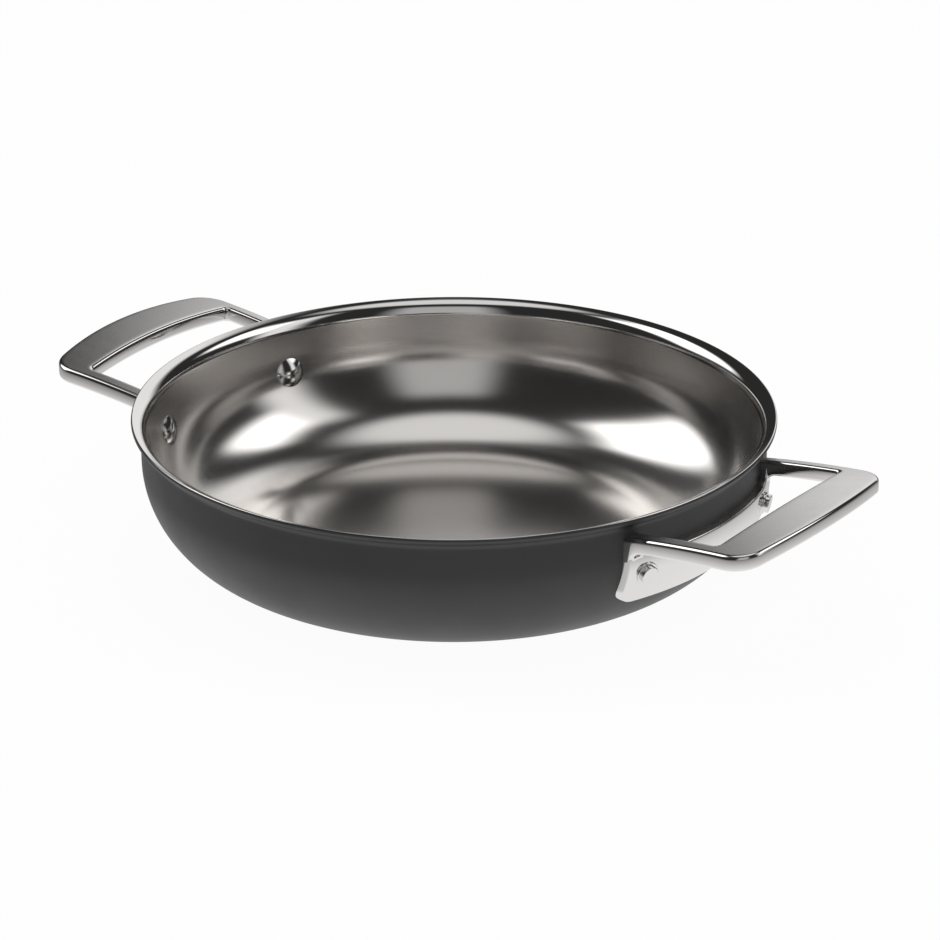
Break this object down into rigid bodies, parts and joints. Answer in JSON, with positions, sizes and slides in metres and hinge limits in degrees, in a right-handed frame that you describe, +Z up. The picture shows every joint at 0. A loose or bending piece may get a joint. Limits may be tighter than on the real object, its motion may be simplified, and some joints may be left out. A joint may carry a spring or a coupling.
{
  "type": "braiser",
  "caption": "Low round bonded-metal braising pan with a flared rim, a rounded base edge and a wide cast loop handle riveted on each side.",
  "frame": {"origin": "middle of the flat underside, on the surface that the pan stands on", "axes": "+Z up out of the mouth, +X through the middle of the right handle, -Y towards the front"},
  "size_m": [0.4156, 0.3048, 0.07],
  "materials": {
    "satin_stainless": "satin stainless cooking surface, polished on the flared lip",
    "bare_aluminium": "bare, sealed between the other plies",
    "hard_anodised": "satin hard-anodised dark grey",
    "polished_stainless": "polished cast stainless",
    "rivet_stainless": "polished stainless"
  },
  "bodies": {
    "root": {"inner_liner": "satin_stainless", "aluminium_core": "bare_aluminium", "outer_skin": "hard_anodised", "handle_right": "polished_stainless", "handle_left": "polished_stainless", "rivet_right_front": "rivet_stainless", "washer_right_front": "rivet_stainless", "rivet_right_rear": "rivet_stainless", "washer_right_rear": "rivet_stainless", "rivet_left_front": "rivet_stainless", "washer_left_front": "rivet_stainless", "rivet_left_rear": "rivet_stainless", "washer_left_rear": "rivet_stainless"}
  },
  "joints": []
}
